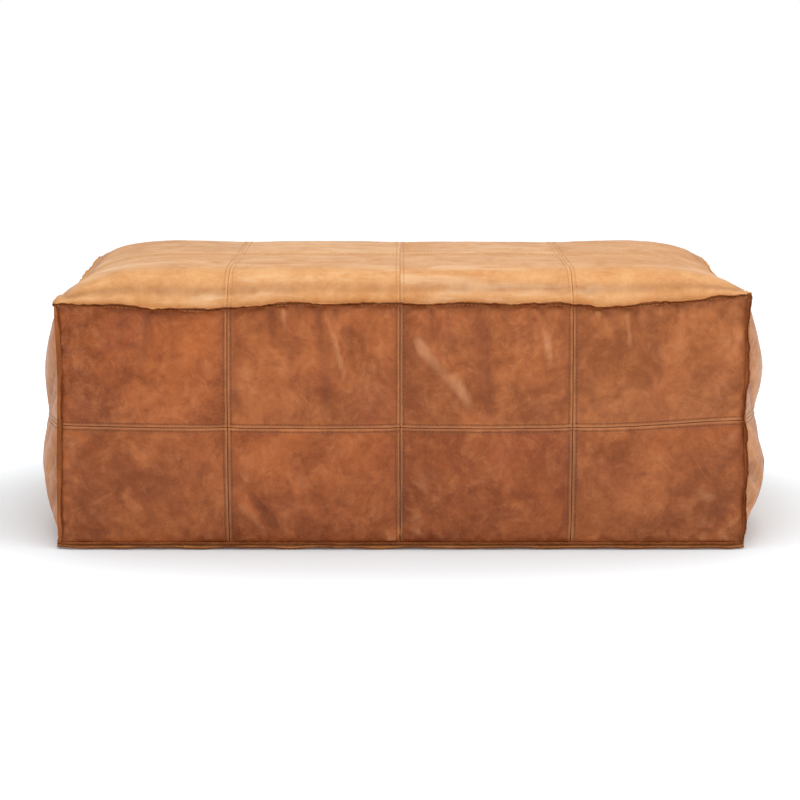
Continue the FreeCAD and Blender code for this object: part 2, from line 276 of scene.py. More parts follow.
class Panel:
    """One stuffed face. a runs across it and b up or back; turn is 1 where a x b points out of the pouf."""

    def __init__(self, name, shape, half_a, b_low, b_high, turn, cells):
        self.name = name
        self.shape = shape
        self.limits = (-half_a, half_a, b_low, b_high)
        self.turn = turn
        self.cells = cells
        self.swell = np.zeros((cells[0] + 1, cells[1] + 1, 3))
        self.ripple = np.zeros((cells[0] + 1, cells[1] + 1))
        self.creases = []

    def coarse(self):
        a_low, a_high, b_low, b_high = self.limits
        a = np.linspace(a_low, a_high, self.cells[0] + 1)
        b = np.linspace(b_low, b_high, self.cells[1] + 1)
        return a, b

    def plain(self, a, b):
        return pushed(self.shape(a, b))

    def weights(self, a, b):
        a_low, a_high, b_low, b_high = self.limits
        on_a = spline_weights(a, a_low, (a_high - a_low) / self.cells[0], self.cells[0] + 1)
        on_b = spline_weights(b, b_low, (b_high - b_low) / self.cells[1], self.cells[1] + 1)
        return on_a, on_b.T

    def cloth(self, a, b):
        """The face with what the simulation added, at every a with every b."""
        on_a, on_b = self.weights(a, b)
        added = [on_a @ self.swell[..., axis] @ on_b for axis in range(3)]
        return self.plain(a, b) + np.stack(added, axis=-1)

    def folded(self, a, b):
        """From -1 in a hollow to 1 on a fold, at every a with every b."""
        on_a, on_b = self.weights(a, b)
        return np.clip(on_a @ self.ripple @ on_b / RIPPLE + self.relief(a, b) / RELIEF, -1, 1)

    def normals(self, points):
        along_a = np.gradient(points, axis=0)
        along_b = np.gradient(points, axis=1)
        return unit(np.cross(along_a, along_b)) * self.turn

    def relief(self, a, b):
        """How far creases raise the face, at every a with every b."""
        across, up = grid(a, b)
        height = np.zeros_like(across)
        for start, end, wide, high in self.creases:
            height += crease(across, up, start, end, wide, high)
        return height

    def surface(self, a, b):
        """Points and normals of the face, creases included."""
        points = self.cloth(a, b)
        normals = self.normals(points)
        points = points + normals * self.relief(a, b)[..., None]
        return points, self.normals(points)


def crease(across, up, start, end, wide, high):
    """A fold from start to end: a rounded ridge that dies away, with a shallow hollow on both sides."""
    run = np.array(end) - np.array(start)
    long = np.linalg.norm(run)
    run = run / long
    t = ((across - start[0]) * run[0] + (up - start[1]) * run[1]) / long
    off = (up - start[1]) * run[0] - (across - start[0]) * run[1]
    off = off + 0.12 * long * (t - 0.5) ** 2
    strength = smooth(t * 5 + 0.6) * smooth((1 - t) * 3)
    above = 0.55 * bell(off - 1.7 * wide, 1.3 * wide)
    below = 0.35 * bell(off + 1.8 * wide, 1.3 * wide)
    return high * strength * (bell(off, wide) - above - below)


CELLS_X, CELLS_Y, CELLS_Z = 112, 56, 40
PANELS = {
    "front": Panel("front", long_shape(-1), HALF_X, BASE_Z, TOP_Z, 1, (CELLS_X, CELLS_Z)),
    "back": Panel("back", long_shape(1), HALF_X, BASE_Z, TOP_Z, -1, (CELLS_X, CELLS_Z)),
    "left": Panel("left", end_shape(-1, WAIST["left"]), HALF_Y, BASE_Z, TOP_Z, -1, (CELLS_Y, CELLS_Z)),
    "right": Panel("right", end_shape(1, WAIST["right"]), HALF_Y, BASE_Z, TOP_Z, 1, (CELLS_Y, CELLS_Z)),
    "top": Panel("top", top_shape, HALF_X, -HALF_Y, HALF_Y, 1, (CELLS_X, CELLS_Y)),
    "base": Panel("base", base_shape, HALF_X, -HALF_Y, HALF_Y, -1, (CELLS_X, CELLS_Y)),
}


# ---------------------------------------------------------------- mesh helpers


def placed(name, data):
    """A new object in the scene that shows this mesh, lamp or camera."""
    made = bpy.data.objects.new(name, data)
    bpy.context.scene.collection.objects.link(made)
    return made


def mesh_object(name, points, quads, slot, attributes=None):
    """A smooth mesh from arrays of points and four-cornered faces, riding on the pouf."""
    mesh = bpy.data.meshes.new(name)
    quads = np.asarray(quads, np.int32)
    mesh.vertices.add(len(points))
    mesh.vertices.foreach_set("co", np.asarray(points, np.float32).ravel())
    mesh.loops.add(quads.size)
    mesh.loops.foreach_set("vertex_index", quads.ravel())
    mesh.polygons.add(len(quads))
    mesh.polygons.foreach_set("loop_start", np.arange(0, quads.size, 4, dtype=np.int32))
    mesh.update(calc_edges=True)
    mesh.validate()
    mesh.shade_smooth()
    for key, values in (attributes or {}).items():
        layer = mesh.attributes.new(key, "FLOAT", "POINT")
        layer.data.foreach_set("value", np.asarray(values, np.float32).ravel())
    made = placed(name, mesh)
    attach(made, BODY)
    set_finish(made, slot)
    return made


def quads_of(index, flip=False):
    """The four-cornered faces between the points that a grid of numbers names."""
    quads = np.stack([index[:-1, :-1], index[1:, :-1], index[1:, 1:], index[:-1, 1:]], axis=-1)
    quads = quads.reshape(-1, 4)
    return quads[:, ::-1] if flip else quads


def grid_quads(rows, columns, offset=0, flip=False):
    return quads_of(np.arange(rows * columns).reshape(rows, columns) + offset, flip)


def shell_quads(rows, columns, flip):
    """Faces of a closed sheet: an outer grid, an inner grid and the rim between them."""
    count = rows * columns
    index = np.arange(count).reshape(rows, columns)
    rim = np.concatenate([index[:-1, 0], index[-1, :-1], index[:0:-1, -1], index[0, :0:-1]])
    following = np.roll(rim, -1)
    sides = np.stack([rim, rim + count, following + count, following], axis=-1)
    if flip:
        sides = sides[:, ::-1]
    return np.concatenate(
        [grid_quads(rows, columns, 0, flip), grid_quads(rows, columns, count, not flip), sides]
    )


def welded(thin, surface):
    """The whole cover as one mesh, in which neighbouring panels share the points of their seam.

    Gives the points, the faces, each panel's grid of point numbers, and for each point the panel, row and
    column that made it and whether it is on a seam. surface gives a panel's points at every a with every b.
    """
    points, quads, makers, where, numbering = [], [], [], {}, {}
    for name, panel in PANELS.items():
        a, b = (line[::thin] for line in panel.coarse())
        flat, real = panel.shape(a, b), surface(panel, a, b)
        index = np.zeros(flat.shape[:2], int)
        for i, j in itertools.product(range(len(a)), range(len(b))):
            edge = i in (0, len(a) - 1) or j in (0, len(b) - 1)
            key = tuple(np.round(flat[i, j], 5)) if edge else (name, i, j)
            if key not in where:
                where[key] = len(points)
                points.append(real[i, j])
                makers.append((name, i, j, edge))
            index[i, j] = where[key]
        numbering[name] = index
        quads.append(quads_of(index, panel.turn == -1))
    return np.array(points), np.concatenate(quads), numbering, makers


# ---------------------------------------------------------------- the cloth simulation


def simulate_cover():
    """Blows the whole cover up a little from inside, with its corner seams held, and keeps the folds."""
    points, quads, numbering, makers = welded(1, Panel.plain)
    tight = {name: tightness(panel, *panel.coarse()) for name, panel in PANELS.items()}
    mesh = bpy.data.meshes.new("cover_cloth")
    mesh.from_pydata([tuple(point) for point in points], [], quads.tolist())
    cover = placed("cover_cloth", mesh)
    held = cover.vertex_groups.new(name="seams")
    held.add([number for number, (*_, edge) in enumerate(makers) if edge], 1.0, "REPLACE")
    spare = cover.vertex_groups.new(name="tight")
    for number, (name, i, j, _) in enumerate(makers):
        spare.add([number], float(tight[name][i, j]), "REPLACE")
    settle(cover)
    keep_result(cover, numbering)
    bpy.data.objects.remove(cover, do_unlink=True)
    bpy.context.scene.frame_set(1)


def keep_result(cover, numbering):
    """Gives each panel the folds that the cloth made in it."""
    evaluated = cover.evaluated_get(bpy.context.evaluated_depsgraph_get())
    result = np.zeros(len(evaluated.data.vertices) * 3, np.float32)
    evaluated.data.vertices.foreach_get("co", result)
    result = result.reshape(-1, 3)
    for name, panel in PANELS.items():
        a, b = panel.coarse()
        plain = panel.plain(a, b)
        panel.swell = kept_folds(result[numbering[name]] - plain, FOLD_LIMIT[name])
        out = (panel.swell * panel.normals(plain)).sum(axis=-1)
        panel.ripple = out - blurred(out, RIPPLE_CELLS)


def tightness(panel, a, b):
    """1 where a seam holds the leather tight, falling to where it has slack to fold, unevenly."""
    across, up = grid(a, b)
    middle = MID_Z if panel.name in WALLS else 0
    near = np.minimum(np.ones_like(across), np.abs(up - middle) / HELD_REACH)
    for seam in np.arange(-HALF_X, HALF_X + 0.01, PATCH):
        near = np.minimum(near, np.abs(across - seam) / HELD_REACH)
    patchy = 0.175 * np.sin(across * 23 + up * 9 + len(panel.name)) * np.sin(up * 31 - across * 7)
    return np.clip(1 - near, 0.25 + patchy, 1)


CLOTH_FRAMES = 26
# How far beside a seam the leather is held, and how much it shrinks where it is loose and where it is tight
HELD_REACH = 0.03
SLACK = -0.022
SNUG = 0.002
# How many cells wide the general swelling and the ripples are, and how much of the swelling is taken off
SWELL_CELLS = 5
RIPPLE_CELLS = 2.5
SWELL_OFF = 0.85
# How far a point may go in each panel, and how high a ripple or a crease is when its painted highlight and
# shade show fully
FOLD_LIMIT = {"front": 0.012, "back": 0.012, "left": 0.013, "right": 0.013, "top": 0.0045, "base": 0.004}
RIPPLE = 0.0050
RELIEF = 0.0054


CLOTH = {
    "quality": 6,
    "mass": 0.5,
    "tension_stiffness": 30,
    "compression_stiffness": 30,
    "shear_stiffness": 12,
    "bending_stiffness": 1.2,
    "tension_damping": 12,
    "compression_damping": 12,
    "shear_damping": 12,
    "air_damping": 4,
    "vertex_group_mass": "seams",
    "pin_stiffness": 1,
    "vertex_group_shrink": "tight",
    "shrink_min": SLACK,
    "shrink_max": SNUG,
    "use_pressure": True,
    "uniform_pressure_force": 3.0,
}


def settle(cover):
    """Runs the cloth simulation, with its cache at the last frame."""
    cloth = cover.modifiers.new("Cloth", "CLOTH")
    for key, value in CLOTH.items():
        setattr(cloth.settings, key, value)
    cloth.settings.effector_weights.gravity = 0.15
    cloth.collision_settings.use_collision = False
    cloth.point_cache.frame_start = 1
    cloth.point_cache.frame_end = CLOTH_FRAMES
    scene = bpy.context.scene
    scene.frame_start, scene.frame_end = 1, CLOTH_FRAMES
    for step in range(1, CLOTH_FRAMES + 1):
        scene.frame_set(step)


def blurred(values, cells):
    """Smooths a grid of vectors or numbers by about this many cells, and leaves its edge at 0."""
    reach = int(3 * cells)
    kernel = np.exp(-0.5 * (np.arange(-reach, reach + 1) / cells) ** 2)
    kernel /= kernel.sum()
    for axis in (0, 1):
        count = values.shape[axis]
        before = -np.flip(np.take(values, range(1, reach + 1), axis), axis)
        after = -np.flip(np.take(values, range(count - reach - 1, count - 1), axis), axis)
        padded = np.concatenate([before, values, after], axis)
        values = sum(weight * np.take(padded, range(k, k + count), axis) for k, weight in enumerate(kernel))
    return values


def kept_folds(moved, limit):
    """Keeps the folds, takes most of the overall swelling off, and limits how far a point may go."""
    folds = moved - SWELL_OFF * blurred(moved, SWELL_CELLS)
    far = np.linalg.norm(folds, axis=-1, keepdims=True)
    return folds * limit * np.tanh(far / limit) / np.maximum(far, 1e-9)


# ---------------------------------------------------------------- seams pressed into the panels

# How deep a seam pulls the face in beside it and how far that reaches, and how wide and dark its painted
# shade is
PULL_IN = 0.0024
PULL_REACH = 0.03
HOLE_SHADE_WIDE = 0.0012
HOLE_SHADE = 0.8
GROOVE_SHADE_WIDE = 0.0010
# How dark the painted shade on the faces beside the corner seams is, and how far from them it goes
WALL_EDGE_SHADE = (0.5, 0.0024)
TOP_EDGE_SHADE = (0.13, 0.035)
FLOOR_GAP = 0.0002
FAR_AWAY = 9.0
FLAT_X = [-PATCH, 0.0, PATCH]
PANEL_SEAMS = {
    "front": (FLAT_X, [MID_Z]),
    "back": (FLAT_X, [MID_Z]),
    "left": ([0.0], [MID_Z]),
    "right": ([0.0], [MID_Z]),
    "top": (FLAT_X, [0.0]),
    "base": ([], [-ZIP_SLOT, ZIP_SLOT]),
}


def nearest(places, seams):
    """Distance to the nearest of the seams."""
    if len(seams) == 0:
        return np.full(len(places), FAR_AWAY)
    return np.abs(np.asarray(places)[:, None] - np.asarray(seams)[None, :]).min(axis=1)


def band_height(away):
    """The doubled leather beside a flat seam stands a little proud."""
    return 0.0011 * (1 - smooth((away - 0.0066) / 0.004))


def groove_depth(away):
    """The turned edge rolls down into the seam."""
    roll = np.sqrt(1 - np.clip(1 - away / 0.0019, 0, 1) ** 2)
    return 0.0021 * (1 - roll)


def channel_depth(away, along):
    """Where the thread pulls the leather in, deepest at the stitch holes."""
    return bell(away - STITCH_IN, 0.0010) * (0.00045 + 0.0007 * holes(along))


def holes(along):
    """1 at a stitch hole and 0 halfway between two."""
    return (0.5 + 0.5 * np.cos(2 * math.pi * along / STITCH)) ** 1.5


def lip(away):
    """Where the rounded edge beside a flat seam is rubbed pale: most at the edge, a little over the band."""
    return bell(away - 0.0018, 0.0010) + 0.20 * (1 - smooth((away - 0.0062) / 0.003))


def corner_dip(away):
    """The leather turns outwards into the raw edge of a corner seam."""
    roll = np.sqrt(1 - np.clip(1 - away / 0.004, 0, 1) ** 2)
    return 0.0016 * (1 - roll)


def gathers(away, along, seed):
    """Small puckers that run out from a corner seam and die away."""
    return wander(along, seed, 0.055, 1.0) * np.exp(-away / 0.036) * smooth(away / 0.010)


class Dressed:
    """A panel's face at every a with every b, with its seams, stitches and puckers pressed in."""

    def __init__(self, panel, a, b):
        self.look = LOOKS[panel.name]
        self.measure(panel, np.asarray(a, float), np.asarray(b, float))
        smooth_points, self.normals = panel.surface(a, b)
        self.points = smooth_points + self.normals * self.height()[..., None]
        if panel.name == "base":
            self.points[..., 2] = np.maximum(self.points[..., 2], FLOOR_GAP)
        self.inner = self.points - self.normals * LEATHER
        # fold carries the painted highlight on the folds and puckers and the painted shade in their hollows
        self.fold = np.clip(panel.folded(a, b) + self.look["shown"] * self.pucker, -1, 1)
        # dark is painted shade: in the grooves, at the stitch holes and beside the corner seams
        self.dark = self.painted_shade(*(TOP_EDGE_SHADE if panel.name == "top" else WALL_EDGE_SHADE))
        self.band = np.maximum(lip(self.away_a), lip(self.away_b))

    def measure(self, panel, a, b):
        """How far each place is from the flat seams and the corner seams, and along them."""
        flat_a, flat_b = PANEL_SEAMS[panel.name]
        a_low, a_high, b_low, b_high = panel.limits
        self.away_a = nearest(a, flat_a)[:, None]
        self.away_b = nearest(b, flat_b)[None, :]
        self.along_a = (a - a_low)[:, None]
        self.along_b = (b - b_low)[None, :]
        end_a = np.minimum(a - a_low, a_high - a)[:, None]
        end_b = np.minimum(b - b_low, b_high - b)[None, :]
        self.near = np.minimum(end_a, end_b)
        seed = len(panel.name) * 17
        self.pucker = gathers(end_b, self.along_a, seed) + gathers(end_a, self.along_b, seed + 5)

    def height(self):
        """How far the seams, stitches and puckers raise the face."""
        away_a, away_b = self.away_a, self.away_b
        height = np.maximum(band_height(away_a), band_height(away_b))
        height = height - self.look["groove"] * (groove_depth(away_a) + groove_depth(away_b))
        height = height - self.look["curl"] * corner_dip(self.near)
        height = height - channel_depth(away_a, self.along_b) - channel_depth(away_b, self.along_a)
        height = height - PULL_IN * (np.exp(-away_a / PULL_REACH) + np.exp(-away_b / PULL_REACH))
        return height + self.look["pucker"] * self.pucker

    def painted_shade(self, edge_shade, edge_wide):
        """Painted shade, from 0 to 1: in the grooves, at the stitch holes and beside the corner seams."""
        away_a, away_b = self.away_a, self.away_b
        hole_a = bell(away_a - STITCH_IN, HOLE_SHADE_WIDE) * holes(self.along_b)
        hole_b = bell(away_b - STITCH_IN, HOLE_SHADE_WIDE) * holes(self.along_a)
        grooves = np.maximum(1 - smooth(away_a / GROOVE_SHADE_WIDE), 1 - smooth(away_b / GROOVE_SHADE_WIDE))
        seams = self.look["dark"] * (grooves + HOLE_SHADE * hole_a + HOLE_SHADE * hole_b)
        return np.clip(seams + edge_shade * (1 - smooth(self.near / edge_wide)), 0, 1)


# Where a patch has its rows of points: beside a flat seam, beside a corner seam, and half a stitch apart
NEAR_FLAT = np.array([0.25, 0.55, 1.0, 1.6, 2.5, 3.7, 4.8, 5.5, 6.0, 6.5, 7.3, 8.4, 10.0]) / 1000
NEAR_CORNER = np.array([0.0, 0.02, 0.08, 0.2, 0.5, 1.1, 2.0, 3.4, 5.4, 8.0]) / 1000
STEP = STITCH / 2


def stations(low, high, low_flat, high_flat, origin):
    """Places from seam to seam: close together beside the seams, and two to a stitch between."""
    first = NEAR_FLAT if low_flat else NEAR_CORNER
    last = NEAR_FLAT if high_flat else NEAR_CORNER
    start = math.ceil((low + first[-1] + STEP * 0.6 - origin) / STEP)
    stop = math.floor((high - last[-1] - STEP * 0.6 - origin) / STEP)
    middle = origin + STEP * np.arange(start, stop + 1)
    return np.concatenate([low + first, middle, high - last[::-1]])


# Each hide has its own number, which moves its pattern, and its own shade
HIDES = itertools.count()
HIDE_STEP = 1.37
SHADE_SEED = 31


def leather_patch(name, node, panel_name, a_span, b_span, tone):
    """One patch of leather, as thick as leather is, between four seams."""
    panel = PANELS[panel_name]
    flat_a, flat_b = PANEL_SEAMS[panel_name]
    a = stations(*a_span, a_span[0] in flat_a, a_span[1] in flat_a, panel.limits[0])
    b = stations(*b_span, b_span[0] in flat_b, b_span[1] in flat_b, panel.limits[2])
    made = Dressed(panel, a, b)
    points = np.concatenate([made.points.reshape(-1, 3), made.inner.reshape(-1, 3)])
    across, up = grid(a, b)
    drawn = {"across": across, "up": up, "fold": made.fold, "dark": made.dark, "band": made.band}
    attributes = {key: np.tile(values.ravel(), 2) for key, values in drawn.items()}
    number = next(HIDES)
    shade = np.random.default_rng((number + 1) * SHADE_SEED).uniform(-1, 1)
    for key, value in (("hide", number * HIDE_STEP + 0.5), ("shade", shade), ("tone", tone)):
        attributes[key] = np.full(len(points), value)
    quads = shell_quads(*across.shape, panel.turn == -1)
    piece = mesh_object(name, points, quads, "leather", attributes)
    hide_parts(node)


# Painted light: how much lighter each patch of the front and back is, from left to right, most at the upper
# right
PAINTED_LIGHT_BY_PATCH = {"upper": (0.0, 0.05, 0.07, 0.11), "lower": (0.03, 0.0, 0.0, 0.06)}
# From brown, 0, to tan, 1, for each face: partly the leather's own colour, partly painted light, the top
# lightest
FACE_TONE_AND_LIGHT = {"front": 0.0, "back": 0.05, "left": 0.4, "right": 0.4, "top": 1.0, "base": 0.2}


def spans(seams):
    return list(zip(seams, seams[1:]))


def make_patches():
    columns = spans([-HALF_X, -PATCH, 0.0, PATCH, HALF_X])
    levels = list(zip(("lower", "upper"), spans([BASE_Z, MID_Z, TOP_Z])))
    depths = list(zip(("front", "back"), spans([-HALF_Y, 0.0, HALF_Y])))
    for side in ("front", "back"):
        for level, z_span in levels:
            for number, x_span in enumerate(columns, 1):
                node = f"{side}_{level}_patch_{number}"
                tone = FACE_TONE_AND_LIGHT[side] + PAINTED_LIGHT_BY_PATCH[level][number - 1]
                leather_patch(f"leather_{node}", node, side, x_span, z_span, tone)
    for side in ("left", "right"):
        for level, z_span in levels:
            for row, y_span in depths:
                node = f"{side}_{level}_{row}_patch"
                leather_patch(f"leather_{node}", node, side, y_span, z_span, FACE_TONE_AND_LIGHT[side])
    for row, y_span in depths:
        for number, x_span in enumerate(columns, 1):
            node = f"top_{row}_patch_{number}"
            leather_patch(f"leather_{node}", node, "top", x_span, y_span, FACE_TONE_AND_LIGHT["top"])
    for row, y_span in (("front", (-HALF_Y, -ZIP_SLOT)), ("back", (ZIP_SLOT, HALF_Y))):
        node = f"base_{row}_panel"
        leather_patch(f"leather_{node}", node, "base", (-HALF_X, HALF_X), y_span, FACE_TONE_AND_LIGHT["base"])


# ---------------------------------------------------------------- stitches

# The rings of a bent capsule: places along it, heights over the leather in thread radii, and radii
RING_ALONG = np.array([-1.0, -0.82, -0.4, 0.4, 0.82, 1.0])
RING_HEIGHT = np.array([-0.9, 0.05, 0.75, 0.75, 0.05, -0.9])
RING_RADIUS = np.array([0.35, 0.9, 1.0, 1.0, 0.9, 0.35])
RING_SIDES = 6
STITCH_LEAN = 0.09
# How far from a corner seam a row may end, how finely its slope is measured, and how high it lies
ROW_END = 0.004
BESIDE = 0.0008
ROW_LIFT = 0.3 * THREAD


def stitch_mesh(name, rows, tone):
    """One mesh of many stitches. Each row is centres, directions and normals."""
    centres = np.concatenate([row[0] for row in rows])
    runs = unit(np.concatenate([row[1] for row in rows]))
    normals = np.concatenate([row[2] for row in rows])
    normals = unit(normals - runs * (normals * runs).sum(axis=1, keepdims=True))
    sides = np.cross(runs, normals)
    draws = np.random.default_rng(len(centres))
    lean = draws.uniform(-STITCH_LEAN, STITCH_LEAN, (len(centres), 1))
    runs = unit(runs + sides * lean)
    around = np.arange(RING_SIDES) * 2 * math.pi / RING_SIDES
    run_by = (RING_ALONG * STITCH_LONG / 2)[None, :, None, None]
    side_by = (RING_RADIUS[:, None] * np.cos(around) * THREAD)[None, :, :, None]
    lift_by = ((RING_HEIGHT[:, None] + RING_RADIUS[:, None] * np.sin(around)) * THREAD)[None, :, :, None]
    centres, runs, sides, normals = (each[:, None, None, :] for each in (centres, runs, sides, normals))
    points = (centres + runs * run_by + sides * side_by + normals * lift_by).reshape(-1, 3)
    quads = stitch_quads(len(centres))
    return mesh_object(name, points, quads, "thread", {"tone": np.full(len(points), tone)})


def stitch_quads(count):
    """The walls and end caps of every stitch."""
    rings = len(RING_ALONG)
    index = np.arange(rings * RING_SIDES).reshape(rings, RING_SIDES)
    turned = np.roll(index, -1, 1)
    wall = np.stack([index[:-1], turned[:-1], turned[1:], index[1:]], axis=-1).reshape(-1, 4)
    caps = np.array([[3, 2, 1, 0], [5, 4, 3, 0], [0, 1, 2, 3], [0, 3, 4, 5]])
    caps[2:] += (rings - 1) * RING_SIDES
    template = np.concatenate([wall, caps])
    return (template[None] + (np.arange(count) * rings * RING_SIDES)[:, None, None]).reshape(-1, 4)


def row_on(panel, fixed, span, fixed_is_a):
    """A row of stitches along a face, at a fixed a or b, from seam to seam."""
    origin = panel.limits[2] if fixed_is_a else panel.limits[0]
    first = math.ceil((span[0] + ROW_END - origin) / STITCH - 0.5)
    last = math.floor((span[1] - ROW_END - origin) / STITCH - 0.5)
    places = origin + STITCH * (np.arange(first, last + 1) + 0.5)
    beside = np.array([fixed - BESIDE, fixed, fixed + BESIDE])
    made = Dressed(panel, beside, places) if fixed_is_a else Dressed(panel, places, beside)
    points, normals = made.points, made.normals
    if not fixed_is_a:
        points, normals = points.swapaxes(0, 1), normals.swapaxes(0, 1)
    runs = np.gradient(points[1], axis=0)
    return points[1] + normals[1] * ROW_LIFT, runs, normals[1]


def panel_rows(panel_name):
    panel = PANELS[panel_name]
    flat_a, flat_b = PANEL_SEAMS[panel_name]
    a_low, a_high, b_low, b_high = panel.limits
    rows = []
    for seam in flat_a:
        for low, high in spans([b_low, *flat_b, b_high]):
            for side in (-1, 1):
                rows.append(row_on(panel, seam + side * STITCH_IN, (low, high), True))
    for seam in flat_b:
        for low, high in spans([a_low, *flat_a, a_high]):
            for side in (-1, 1):
                if panel_name != "base" or side * seam > 0:
                    rows.append(row_on(panel, seam + side * STITCH_IN, (low, high), False))
    return rows


# How pale the thread is on each face
DARK_THREAD_TONE = 0.1
RIM_THREAD_TONE = 0.7
THREAD_TONES = {"front": 0.1, "back": 0.1, "left": 0.5, "right": 0.5, "top": 0.85}


def make_stitches():
    for name, tone in THREAD_TONES.items():
        piece = stitch_mesh(f"thread_{name}", panel_rows(name), tone)
        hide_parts(f"{name}_stitching")
    stitch_mesh("thread_base", panel_rows("base"), DARK_THREAD_TONE)


# ---------------------------------------------------------------- raw edges

# Where a raw edge has its points across it, as shares of its width, and where its row of stitches is
ACROSS = np.array([0.0, 0.12, 0.3, 0.5, 0.7, 0.86, 0.95, 1.0])
ROW_SHARE = 0.42
# Its leather, the gap between its layers, how far into the seam it starts, how its waves grow outwards, how
# far its stitches stand off it, the first number of its hides, and the length of its faces
EDGE_LEATHER = 0.0013
LAYER_GAP = 0.00012
ROOT_IN = 0.0022
WAVE_POWER = 1.3
EDGE_LIFT = 0.0003
EDGE_HIDES = 20.0
EDGE_STEP = 0.0028


def run_along(line):
    """How far along a line of points each of them is."""
    return np.concatenate([[0], np.cumsum(np.linalg.norm(np.diff(line, axis=0), axis=1))])


def edge_layer(root, out, up, low_side, thick, seed, gap, wave):
    """One leather layer of a raw edge: a closed, wavy, ragged strip from root outwards."""
    away = run_along(root)
    ragged = 1 + 0.10 * wander(away, seed, 0.09, 1.0) + 0.05 * wander(away, seed + 1, 0.011, 1.0)
    opened = gap * (0.75 + 0.25 * wander(away, seed + 2, 0.13, 1.0, 2))
    r = ACROSS[None, :, None]
    side = -1 if low_side else 1
    near = side * (LAYER_GAP + np.clip(opened, 0.0, None)[:, None, None] * r**1.5)
    far = near + side * thick
    ends = 0.45 + 0.55 * smooth(np.minimum(away, away[-1] - away) / 0.022)
    flow = root[:, None] + out[:, None] * (r * WELT_OUT - ROOT_IN) * (ragged * ends)[:, None, None]
    flow = flow + up[:, None] * (wave[:, None, None] * r**WAVE_POWER)
    return np.stack([flow + up[:, None] * far, flow + up[:, None] * near])


def raw_edge(name, node, root, out, up, seed, gaps=(0.0010, 0.0003), thicks=(EDGE_LEATHER, EDGE_LEATHER),
             tall=0.0017, tones=(0.1, 0.1)):
    """Makes the two layers of a corner seam's raw edge as one piece, and gives the stitches through them.

    gaps, thicks and tones are the lower and the upper layer's: how far it opens, its leather and its colour.
    """
    away = run_along(root)
    wave = wander(away, seed + 9, 0.15, tall) + wander(away, seed + 10, 0.042, tall * 0.45, 2)
    wave = wave + wander(away, seed + 11, 0.017, tall * 0.22, 2)
    rows, columns = len(root), len(ACROSS)
    count = 2 * rows * columns
    points, quads = [], []
    for low_side, thick, gap in zip((True, False), thicks, gaps):
        layer = edge_layer(root, out, up, low_side, thick, seed + 3 * low_side, gap, wave)
        quads.append(shell_quads(rows, columns, low_side) + count * len(points))
        points.append(layer.reshape(-1, 3))
    attributes = {
        "cut": np.tile(smooth((ACROSS - 0.9) / 0.1), 4 * rows),
        "tone": np.repeat(tones, count),
        "hide": np.full(2 * count, EDGE_HIDES + seed),
    }
    piece = mesh_object(name, np.concatenate(points), np.concatenate(quads), "leather_edge", attributes)
    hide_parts(node)
    return stitches_through(root, out, up, wave, thicks)


def stitches_through(root, out, up, wave, thicks):
    """Rows of stitches on both faces of a raw edge."""
    away = run_along(root)
    places = np.arange(STITCH, away[-1] - STITCH / 2, STITCH)

    def at(values):
        return np.stack([np.interp(places, away, values[:, k]) for k in range(3)], axis=1)

    lift = np.interp(places, away, wave)[:, None] * ROW_SHARE**WAVE_POWER
    centre = at(root) + at(out) * (ROW_SHARE * WELT_OUT) + at(up) * lift
    runs = np.gradient(centre, axis=0)
    rows = []
    for side, thick in zip((-1, 1), thicks):
        rows.append((centre + at(up) * side * (thick + EDGE_LIFT), runs, at(up) * side))
    return rows


def ring_root(panel_name, b_edge):
    """The seam along the top or bottom edge of a wall, from end to end."""
    panel = PANELS[panel_name]
    low, high = panel.limits[:2]
    a = np.linspace(low, high, int((high - low) / EDGE_STEP))
    return panel.plain(a, np.array([b_edge]))[:, 0]


WALL_OUT = {"front": (0, -1), "back": (0, 1), "left": (-1, 0), "right": (1, 0)}


def ring_out(root, panel_name, rise):
    """Directions in which a ring's edge stands out, turned to the diagonal at the corners for the mitre."""
    x, y = WALL_OUT[panel_name]
    out = np.tile([x, y, rise], (len(root), 1)).astype(float)
    run = 0 if x == 0 else 1
    out[0, run] = -1
    out[-1, run] = 1
    return out


def make_ring(z_name, b_edge, rise, **looks):
    """Makes the four strips of a ring, and gives their stitches."""
    rows = []
    for number, wall in enumerate(WALLS):
        root = ring_root(wall, b_edge)
        out = ring_out(root, wall, rise)
        up = np.tile([0.0, 0.0, 1.0], (len(root), 1))
        node = f"top_{wall}_welt" if z_name == "top" else "base_welt"
        rows += raw_edge(f"raw_edge_{z_name}_{wall}", node, root, out, up, 40 + 7 * number, **looks)
    return rows


# Which way each corner's raw edge has been pressed, in degrees from the diagonal
CORNER_LEAN = {
    ("front", "left"): 108.0, ("front", "right"): -38.0, ("back", "left"): -30.0, ("back", "right"): 25.0,
}


def make_corner_edges():
    """Makes the four upright raw edges, and gives their stitches."""
    rows = []
    z = np.linspace(BASE_Z + 0.001, TOP_Z - 0.0005, int((TOP_Z - BASE_Z) / EDGE_STEP))
    for (y_name, x_name), lean in CORNER_LEAN.items():
        side_x = -1 if x_name == "left" else 1
        side_y = -1 if y_name == "front" else 1
        root = PANELS[y_name].plain(np.array([side_x * HALF_X]), z)[0]
        bend = wander(z - BASE_Z, 77 + side_x + 3 * side_y, 0.16, 12.0)
        angle = np.radians(math.degrees(math.atan2(side_y, side_x)) + lean + bend)
        out = np.stack([np.cos(angle), np.sin(angle), np.zeros_like(angle)], axis=1)
        up = np.stack([-np.sin(angle), np.cos(angle), np.zeros_like(angle)], axis=1)
        name = f"raw_edge_corner_{y_name}_{x_name}"
        node = f"{y_name}_{x_name}_corner_welt"
        rows += raw_edge(name, node, root, out, up, 90 + 5 * side_x + side_y, tall=0.0018)
    return rows


